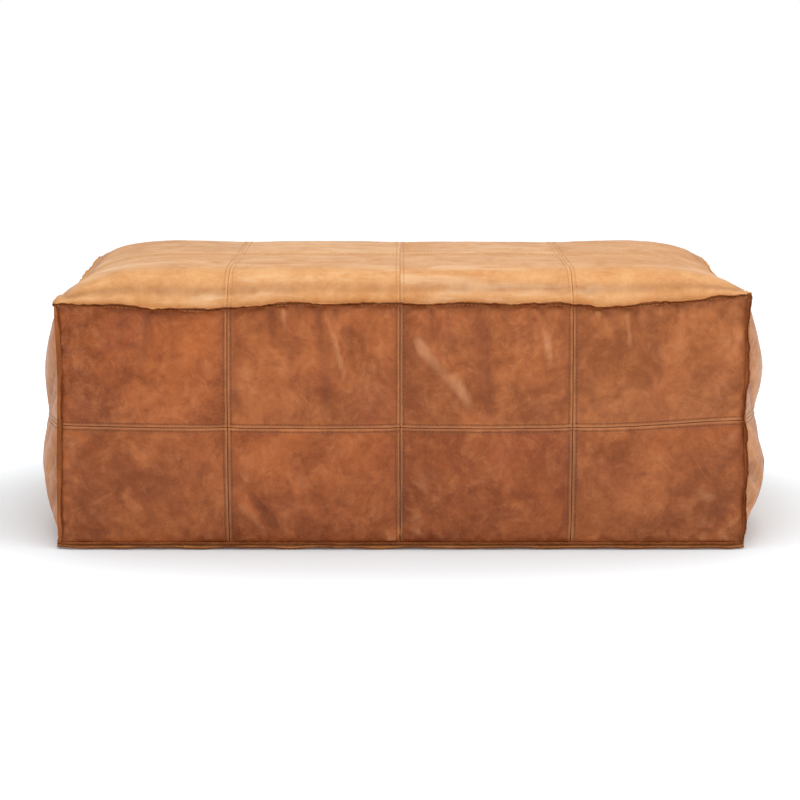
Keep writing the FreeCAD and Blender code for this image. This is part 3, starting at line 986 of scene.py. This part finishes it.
def make_edges():
    rim = {"gaps": (0.0012, 0.0003), "thicks": (0.0018, 0.0017), "tones": (0.1, 0.9)}
    # The base ring's layers are lighter than the leather they are cut from: a painted highlight from the
    # light above
    hem_with_highlight = {"gaps": (0.0056, 0.0002), "thicks": (0.0018, 0.0018), "tones": (0.5, 0.3), "tall": 0.0002}
    top_rows = make_ring("top", TOP_Z, 0.10, **rim)
    base_rows = make_ring("base", BASE_Z, 0.0, **hem_with_highlight)
    stitch_mesh("thread_rim", top_rows, RIM_THREAD_TONE)
    stitch_mesh("thread_edges", base_rows + make_corner_edges(), DARK_THREAD_TONE)


# ---------------------------------------------------------------- materials


class Material:
    """A small builder for node materials: each call adds a node, and returns its useful output."""

    def __init__(self, name):
        self.material = bpy.data.materials.new(name)
        self.material.use_nodes = True
        self.tree = self.material.node_tree
        self.shader = self.tree.nodes["Principled BSDF"]
        self.place = self.node("ShaderNodeTexCoord").outputs["Object"]

    def node(self, kind, **settings):
        made = self.tree.nodes.new(kind)
        for key, value in settings.items():
            setattr(made, key, value)
        return made

    def join(self, source, socket):
        if isinstance(source, bpy.types.NodeSocket):
            self.tree.links.new(source, socket)
        else:
            socket.default_value = source

    def attribute(self, name):
        return self.node("ShaderNodeAttribute", attribute_name=name).outputs["Fac"]

    def math(self, kind, first, second=0.0):
        made = self.node("ShaderNodeMath", operation=kind)
        self.join(first, made.inputs[0])
        self.join(second, made.inputs[1])
        return made.outputs[0]

    def stretch(self, value, low, high, to_low=0.0, to_high=1.0):
        made = self.node("ShaderNodeMapRange", interpolation_type="SMOOTHSTEP")
        for source, socket in zip((value, low, high, to_low, to_high), made.inputs[:5]):
            self.join(source, socket)
        return made.outputs[0]

    def noise(self, scale, detail=4.0, rough=0.55, w=0.0, place=None, distortion=0.0):
        made = self.node("ShaderNodeTexNoise", noise_dimensions="4D")
        self.join(place or self.place, made.inputs["Vector"])
        self.join(w, made.inputs["W"])
        values = {"Scale": scale, "Detail": detail, "Roughness": rough, "Distortion": distortion}
        for key, value in values.items():
            made.inputs[key].default_value = value
        return made.outputs["Fac"]

    def cells(self, scale):
        made = self.node("ShaderNodeTexVoronoi")
        self.join(self.place, made.inputs["Vector"])
        made.inputs["Scale"].default_value = scale
        return made.outputs["Distance"]

    def mapped(self, turn, scale, place=None, kind="POINT"):
        made = self.node("ShaderNodeMapping", vector_type=kind)
        self.join(place or self.place, made.inputs["Vector"])
        made.inputs["Rotation"].default_value = [math.radians(angle) for angle in turn]
        made.inputs["Scale"].default_value = scale
        return made.outputs[0]

    def mix(self, share, first, second):
        made = self.node("ShaderNodeMix", data_type="RGBA")
        self.join(share, made.inputs[0])
        for colour, socket in ((first, made.inputs[6]), (second, made.inputs[7])):
            self.join(colour if isinstance(colour, bpy.types.NodeSocket) else (*colour, 1.0), socket)
        return made.outputs[2]

    def bump(self, height, strength, distance, under=None):
        made = self.node("ShaderNodeBump")
        made.inputs["Strength"].default_value = strength
        made.inputs["Distance"].default_value = distance
        self.join(height, made.inputs["Height"])
        if under is not None:
            self.join(under, made.inputs["Normal"])
        return made.outputs[0]

    def finish(self, **sockets):
        for key, value in sockets.items():
            self.join(value, self.shader.inputs[key.replace("_", " ").title().replace("Ior", "IOR")])
        return self.material


def hide_place(m, hide):
    """Places on the hide as it lay flat: across, up, and a third number that differs from hide to hide."""
    made = m.node("ShaderNodeCombineXYZ")
    for source, socket in zip((m.attribute("across"), m.attribute("up"), hide), made.inputs):
        m.join(source, socket)
    return made.outputs[0]


def scratches(m, flat, hide, turn, fine, seldom):
    """Thin pale lines one way across the hide, with long gaps between them."""
    place = m.mapped((0, 0, turn), (1 / fine, 1 / 24, 1.0), flat, "TEXTURE")
    lines = m.noise(1.0, 1.0, 0.5, hide, place, 1.3)
    few = m.noise(9.0, 2.0, 0.5, m.math("ADD", hide, float(turn)))
    return m.math("MULTIPLY", m.stretch(lines, 0.67, 0.74), m.stretch(few, seldom, seldom + 0.08))


def grain(m, hide):
    """Pores and the fine cracks of the grain, as a height."""
    pores = m.cells(720.0)
    wrinkles = m.noise(260.0, 3.0, 0.6, hide)
    soft = m.noise(60.0, 3.0, 0.55, hide)
    low = m.math("MULTIPLY", pores, 0.55)
    mid = m.math("MULTIPLY", wrinkles, 0.8)
    return m.math("ADD", m.math("ADD", low, mid), m.math("MULTIPLY", soft, 1.1))


def ridges(m, value):
    """1 along the middle values of a noise, as thin veins, falling to 0 away from them."""
    away = m.math("ABSOLUTE", m.math("SUBTRACT", value, 0.5))
    return m.stretch(away, 0.0, 0.07, 1.0, 0.0)


def mottling(m, hide):
    """Clouds, blotches and fine speckle as one value about a half, and the blotches alone."""
    clouds = m.noise(6.0, 6.0, 0.62, hide, distortion=0.6)
    blotch = m.noise(21.0, 7.0, 0.68, hide, distortion=0.9)
    fine = m.noise(95.0, 8.0, 0.82, hide)
    mottle = m.math("ADD", m.math("MULTIPLY", clouds, 0.40), m.math("MULTIPLY", blotch, 0.36))
    return m.math("ADD", mottle, m.math("MULTIPLY", fine, 0.24)), blotch


def dye_and_face_light(m, hide, tone, mottle):
    """The dye, brown to tan by tone, which carries painted light too, with each hide a little darker and
    redder than the next.
    """
    light = m.stretch(mottle, 0.38, 0.62)
    brown = m.mix(light, (0.175, 0.035, 0.0050), (0.435, 0.116, 0.026))
    tan = m.mix(light, (0.600, 0.255, 0.072), (0.800, 0.435, 0.175))
    colour = m.mix(tone, brown, tan)
    colour = m.mix(m.stretch(m.attribute("shade"), -1.0, 1.0, 0.0, 0.16), colour, (0.30, 0.072, 0.018))
    reds = m.stretch(m.noise(9.0, 3.0, 0.5, m.math("ADD", hide, 3.0)), 0.52, 0.72, 0.0, 0.30)
    return m.mix(m.math("MULTIPLY", reds, m.stretch(tone, 0.0, 1.0, 1.0, 0.25)), colour, (0.34, 0.080, 0.030))


def rubbed(m, hide, tone, blotch, colour):
    """Pale streaks along the tan hides, and thin pale veins where the oil has moved."""
    streak = m.noise(1.0, 7.0, 0.62, hide, m.mapped((0, 0, 0), (5.0, 26.0, 26.0)), 0.5)
    pale = m.math("MULTIPLY", m.stretch(streak, 0.50, 0.66), m.stretch(tone, 0.7, 1.0, 0.0, 0.45))
    colour = m.mix(pale, colour, (0.84, 0.56, 0.33))
    lines = ridges(m, m.noise(15.0, 6.0, 0.62, hide, distortion=1.4))
    veins = m.math("MULTIPLY", lines, m.stretch(blotch, 0.40, 0.65))
    return m.mix(m.math("MULTIPLY", veins, 0.14), colour, (0.66, 0.28, 0.12))


def folded_and_sewn(m, blotch, colour):
    """Pale on the folds, from pull-up and a painted highlight; painted shade in the hollows; pale on the
    doubled bands by the seams.
    """
    fold = m.attribute("fold")
    # Pale on the folds: partly the leather's pull-up, partly a painted highlight
    pull_up_and_highlight = m.stretch(m.math("ADD", fold, m.math("MULTIPLY", blotch, 0.6)), 0.55, 1.45, 0.0, 0.42)
    colour = m.mix(pull_up_and_highlight, colour, (0.70, 0.34, 0.16))
    # Painted shade in the hollows of the folds
    colour = m.mix(m.stretch(fold, -0.08, -0.9, 0.0, 0.42), colour, (0.150, 0.034, 0.010))
    return m.mix(m.math("MULTIPLY", m.attribute("band"), 0.20), colour, (0.78, 0.40, 0.17))


def marked(m, marks, dark, blotch, colour):
    """Pale scratches, small dark specks, and painted shade in the grooves, at the stitch holes and beside the
    corner seams.
    """
    colour = m.mix(m.math("MULTIPLY", marks, 0.17), colour, (0.78, 0.42, 0.22))
    specks = m.stretch(m.cells(95.0), 0.11, 0.05, 0.0, 0.35)
    colour = m.mix(m.math("MULTIPLY", specks, m.stretch(blotch, 0.5, 0.7)), colour, (0.20, 0.05, 0.02))
    # Painted shade from the dark attribute
    return m.mix(m.math("MULTIPLY", dark, 0.88), colour, (0.165, 0.034, 0.007))


def leather_material():
    """Oiled pull-up leather: cloudy brown and tan, pale where stretched or scratched; painted highlight and
    shade on folds and seams.
    """
    m = Material("pull_up_leather")
    hide, tone, dark = m.attribute("hide"), m.attribute("tone"), m.attribute("dark")
    flat = hide_place(m, hide)
    one_way, other_way = scratches(m, flat, hide, 35, 420.0, 0.56), scratches(m, flat, hide, -62, 480.0, 0.57)
    marks = m.math("MAXIMUM", one_way, other_way)
    mottle, blotch = mottling(m, hide)
    colour = rubbed(m, hide, tone, blotch, dye_and_face_light(m, hide, tone, mottle))
    colour = marked(m, marks, dark, blotch, folded_and_sewn(m, blotch, colour))
    rough = m.stretch(mottle, 0.35, 0.65, 0.56, 0.42)
    rough = m.math("ADD", rough, m.math("MULTIPLY", m.math("MAXIMUM", marks, dark), 0.25))
    creased = m.noise(34.0, 4.0, 0.6, hide, m.mapped((0, 20, 15), (1.0, 1.0, 2.2)), 1.2)
    normal = m.bump(m.math("ABSOLUTE", m.math("SUBTRACT", creased, 0.5)), 0.35, 0.005)
    normal = m.bump(grain(m, hide), 0.32, 0.0006, normal)
    return m.finish(
        base_color=colour, roughness=rough, normal=normal, specular_ior_level=0.26,
        sheen_weight=0.06, sheen_roughness=0.45,
    )


def edge_material():
    """The raw edges: the colours of the leather they belong to, with a dark, dry, fibrous cut."""
    m = Material("raw_edge_leather")
    hide, cut, tone = m.attribute("hide"), m.attribute("cut"), m.attribute("tone")
    clouds = m.stretch(m.noise(14.0, 5.0, 0.6, hide), 0.35, 0.65)
    fibres = m.noise(420.0, 3.0, 0.7, hide)
    brown = m.mix(clouds, (0.210, 0.048, 0.012), (0.360, 0.100, 0.030))
    tan = m.mix(clouds, (0.620, 0.270, 0.080), (0.740, 0.380, 0.140))
    colour = m.mix(tone, brown, tan)
    rim = m.mix(m.stretch(fibres, 0.35, 0.7), (0.135, 0.028, 0.006), (0.300, 0.085, 0.025))
    worn = m.math("MULTIPLY", cut, m.stretch(m.noise(40.0, 3.0, 0.6, hide), 0.30, 0.55, 0.55, 1.0))
    colour = m.mix(worn, colour, rim)
    normal = m.bump(m.math("ADD", fibres, grain(m, hide)), 0.5, 0.0006)
    return m.finish(base_color=colour, roughness=0.7, normal=normal, specular_ior_level=0.06)


def thread_material():
    """Waxed three-ply thread."""
    m = Material("waxed_thread")
    twist = m.node("ShaderNodeTexWave", bands_direction="DIAGONAL")
    m.join(m.place, twist.inputs["Vector"])
    twist.inputs["Scale"].default_value = 900.0
    ply = twist.outputs["Fac"]
    dark = m.mix(ply, (0.115, 0.030, 0.010), (0.300, 0.090, 0.030))
    light = m.mix(ply, (0.560, 0.270, 0.095), (0.820, 0.520, 0.240))
    colour = m.mix(m.attribute("tone"), dark, light)
    return m.finish(base_color=colour, roughness=0.55, normal=m.bump(ply, 0.4, 0.0002), sheen_weight=0.1)


def woven_material(name, dark, light, scale):
    """A plain weave seen from any side."""
    m = Material(name)
    weave = m.node("ShaderNodeTexChecker")
    m.join(m.place, weave.inputs["Vector"])
    weave.inputs["Scale"].default_value = scale
    uneven = m.noise(scale / 14, 4.0, 0.6)
    share = m.math("ADD", m.math("MULTIPLY", weave.outputs["Fac"], 0.5), m.math("MULTIPLY", uneven, 0.5))
    normal = m.bump(share, 0.5, 0.0004)
    return m.finish(base_color=m.mix(share, dark, light), roughness=0.85, normal=normal, sheen_weight=0.2)


def brass_material():
    """Old brass, stained unevenly, bright and dull in patches, and finely brushed."""
    m = Material("old_brass")
    stain = m.noise(160.0, 5.0, 0.65)
    brushed = m.noise(1.0, 2.0, 0.5, 0.0, m.mapped((0, 0, 0), (40.0, 2400.0, 2400.0)))
    colour = m.mix(m.stretch(stain, 0.38, 0.68), (0.30, 0.20, 0.09), (0.66, 0.48, 0.24))
    rough = m.stretch(stain, 0.35, 0.7, 0.48, 0.26)
    return m.finish(base_color=colour, metallic=1.0, roughness=rough, normal=m.bump(brushed, 0.15, 0.0002))


def cloud_material(name, dark, light, scale, rough):
    """Foam or loose fibre: soft, pale and uneven."""
    m = Material(name)
    lumps = m.noise(scale, 6.0, 0.7)
    normal = m.bump(lumps, 0.7, 0.002)
    return m.finish(base_color=m.mix(lumps, dark, light), roughness=rough, normal=normal)


def floor_material():
    """A white studio floor painted with light of its own: weaker near the pouf as a painted shadow, and white
    further off.
    """
    m = Material("pale_floor")
    parts = m.node("ShaderNodeSeparateXYZ")
    m.join(m.place, parts.inputs[0])
    across = m.math("MULTIPLY", m.math("ABSOLUTE", parts.outputs[0]), 0.62)
    away = m.math("SQRT", m.math("ADD", m.math("POWER", across, 2.0), m.math("POWER", parts.outputs[1], 2.0)))
    # Painted light from the floor itself, with a painted shadow where it is weaker near the pouf
    floor_glow_and_shadow = m.stretch(away, 0.36, 0.74, 0.06, 0.42)
    return m.finish(
        base_color=(0.805, 0.845, 0.870, 1.0), roughness=0.8, specular_ior_level=0.1,
        emission_color=(1.0, 1.0, 1.0, 1.0), emission_strength=floor_glow_and_shadow,
    )


def give(piece, material):
    piece.data.materials.clear()
    piece.data.materials.append(material)


def set_materials():
    """Every shown piece and every shown CAD node takes its material from its slot."""
    by_slot = {
        "leather": leather_material(),
        "leather_edge": edge_material(),
        "thread": thread_material(),
        "zip_tape": woven_material("zip_tape", (0.05, 0.028, 0.018), (0.16, 0.09, 0.055), 1500.0),
        "zip_metal": brass_material(),
        "liner_cloth": woven_material("calico", (0.55, 0.49, 0.38), (0.82, 0.77, 0.66), 1100.0),
        "wadding": cloud_material("wadding", (0.72, 0.71, 0.68), (0.95, 0.94, 0.92), 60.0, 0.95),
        "foam": cloud_material("foam", (0.70, 0.64, 0.44), (0.88, 0.83, 0.64), 240.0, 0.9),
    }
    slots = {row["node"]: row["material_slot"] for row in frame["record"]["subparts"]}
    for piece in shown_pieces():
        slot = piece.get("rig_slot") or slots[piece["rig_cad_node"]]
        give(piece, by_slot[slot])


# ---------------------------------------------------------------- what is inside

# How far each layer lies inside the outer form
LINER_OUTSIDE = 0.0090
LINER_INSIDE = 0.0098
WADDING_OUTSIDE = 0.0110
# What is inside keeps this much further off the zip, at points lower than this
ZIP_ROOM = 0.006
BASE_LAYER = 0.03
FOAM_ROWS = 25
FOAM_POWER = 16


def closed_form(inset):
    """Points and faces of the whole cover as one closed surface, moved in by about inset."""
    points, quads, _, _ = welded(2, Panel.cloth)
    middle = np.array([0, 0, (TOP_Z + BASE_Z) / 2])
    scale = np.array([1 - inset / HALF_X, 1 - inset / HALF_Y, 1 - inset / ((TOP_Z - BASE_Z) / 2)])
    points = (points - middle) * scale + middle
    low = points[:, 2] < BASE_LAYER
    points[low, 2] += ZIP_ROOM * (1 - smooth((np.abs(points[low, 1]) - 0.02) / 0.05))
    return points, quads


def make_inside():
    outer, quads = closed_form(LINER_OUTSIDE)
    inner, _ = closed_form(LINER_INSIDE)
    faces = np.concatenate([quads, quads[:, ::-1] + len(outer)])
    liner = mesh_object("liner", np.concatenate([outer, inner]), faces, "liner_cloth")
    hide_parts("liner_bag")
    wadding = mesh_object("wadding_fill", *closed_form(WADDING_OUTSIDE), "wadding")
    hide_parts("wadding")
    foam = foam_piece(*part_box("foam_block"))
    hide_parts("foam_block")


def foam_piece(low, high):
    """The foam block: a box with soft round edges, as a superellipsoid of high power."""
    middle, half = (np.array(low) + np.array(high)) / 2, (np.array(high) - np.array(low)) / 2
    points, quads = [], []
    steps = np.linspace(-1, 1, FOAM_ROWS)
    for axis, side in itertools.product(range(3), (-1, 1)):
        u, v = grid(steps, steps)
        cube = np.zeros(u.shape + (3,))
        cube[..., axis] = side
        cube[..., (axis + 1) % 3] = u
        cube[..., (axis + 2) % 3] = v
        power = (np.abs(cube) ** FOAM_POWER).sum(axis=-1, keepdims=True) ** (1 / FOAM_POWER)
        quads.append(grid_quads(FOAM_ROWS, FOAM_ROWS, len(points) * FOAM_ROWS**2, side == -1))
        points.append((middle + half * cube / power).reshape(-1, 3))
    return mesh_object("foam_core", np.concatenate(points), np.concatenate(quads), "foam")


# ---------------------------------------------------------------- floor, light and camera

FLOOR = 60.0


def make_floor():
    mesh = bpy.data.meshes.new("floor")
    corners = [(-FLOOR, -FLOOR, 0), (FLOOR, -FLOOR, 0), (FLOOR, FLOOR, 0), (-FLOOR, FLOOR, 0)]
    mesh.from_pydata(corners, [], [(0, 1, 2, 3)])
    floor = placed("floor", mesh)
    give(floor, floor_material())
    floor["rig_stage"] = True


def softbox(name, place, aim, size, power):
    data = bpy.data.lights.new(name, "AREA")
    data.shape = "RECTANGLE"
    data.size, data.size_y = size
    data.energy = power
    lamp = placed(name, data)
    lamp.location = place
    lamp.rotation_euler = (Vector(aim) - Vector(place)).to_track_quat("-Z", "Y").to_euler()


# How bright the studio is, from the horizon to overhead
SKY = ((0.20, 1.00), (0.34, 0.27), (0.62, 0.44), (0.92, 1.25))


def make_light():
    world = bpy.data.worlds.new("studio")
    world.use_nodes = True
    bpy.context.scene.world = world
    tree = world.node_tree
    place = tree.nodes.new("ShaderNodeTexCoord").outputs["Generated"]
    split = tree.nodes.new("ShaderNodeSeparateXYZ")
    tree.links.new(place, split.inputs[0])
    level = tree.nodes.new("ShaderNodeValToRGB")
    tree.links.new(split.outputs["Z"], level.inputs[0])
    ramp = level.color_ramp
    for position, _ in SKY[1:-1]:
        ramp.elements.new(position)
    for element, (position, strength) in zip(ramp.elements, SKY):
        element.position = position
        element.color = (strength, strength, strength, 1.0)
    background = tree.nodes["Background"]
    tree.links.new(level.outputs[0], background.inputs["Strength"])
    background.inputs["Color"].default_value = (1.0, 1.0, 1.0, 1.0)
    softbox("overhead", (0.35, -1.1, 2.3), (0, 0, 0.3), (2.6, 1.6), 28.0)
    softbox("left_side", (-2.6, -0.3, 1.5), (0, 0, 0.25), (1.2, 1.2), 2.4)
    softbox("right_side", (2.4, -1.6, 1.3), (0.3, -0.3, 0.25), (1.4, 1.4), 4.0)


CAMERA_AWAY = 3.133
CAMERA_UP = 0.834
CAMERA_TILT = 8.25
LENS = 88.2
SHIFT_Y = -0.10


def make_camera():
    data = bpy.data.cameras.new("camera")
    data.lens = LENS
    data.sensor_width = 36.0
    data.shift_y = SHIFT_Y
    camera = placed("camera", data)
    camera.location = (0.0, -HALF_Y - CAMERA_AWAY, CAMERA_UP)
    camera.rotation_euler = (math.radians(90.0 - CAMERA_TILT), 0.0, 0.0)
    bpy.context.scene.camera = camera
    bpy.context.scene.view_settings.view_transform = "Standard"


# ---------------------------------------------------------------- folds placed one by one

# Folds in the front: start and end, in metres across from the middle and up from the floor, width and height
PANELS["front"].creases = [
    ((-0.186, 0.395), (-0.178, 0.330), 0.009, 0.0036),
    ((-0.118, 0.392), (-0.082, 0.275), 0.009, 0.0042),
    ((0.028, 0.352), (0.132, 0.228), 0.013, 0.0048),
    ((0.070, 0.345), (0.115, 0.265), 0.009, 0.0024),
    ((0.222, 0.395), (0.252, 0.290), 0.009, 0.0036),
    ((0.258, 0.398), (0.240, 0.340), 0.006, 0.0020),
    ((0.362, 0.400), (0.372, 0.320), 0.010, 0.0036),
    ((0.322, 0.398), (0.345, 0.335), 0.008, 0.0026),
    ((0.420, 0.398), (0.412, 0.340), 0.008, 0.0018),
    ((0.445, 0.398), (0.462, 0.310), 0.010, 0.0024),
    ((-0.500, 0.370), (-0.455, 0.330), 0.006, 0.0018),
    ((-0.210, 0.330), (-0.175, 0.285), 0.008, 0.0018),
    ((-0.265, 0.120), (-0.185, 0.030), 0.011, -0.0038),
    ((0.020, 0.110), (0.075, 0.020), 0.010, -0.0034),
    ((-0.100, 0.085), (-0.040, 0.040), 0.008, -0.0024),
    ((0.430, 0.110), (0.520, 0.060), 0.010, -0.0024),
    ((-0.420, 0.120), (-0.480, 0.060), 0.010, -0.0020),
]


make_camera()
make_floor()
make_light()
simulate_cover()
make_patches()
make_stitches()
make_edges()
make_inside()
set_materials()
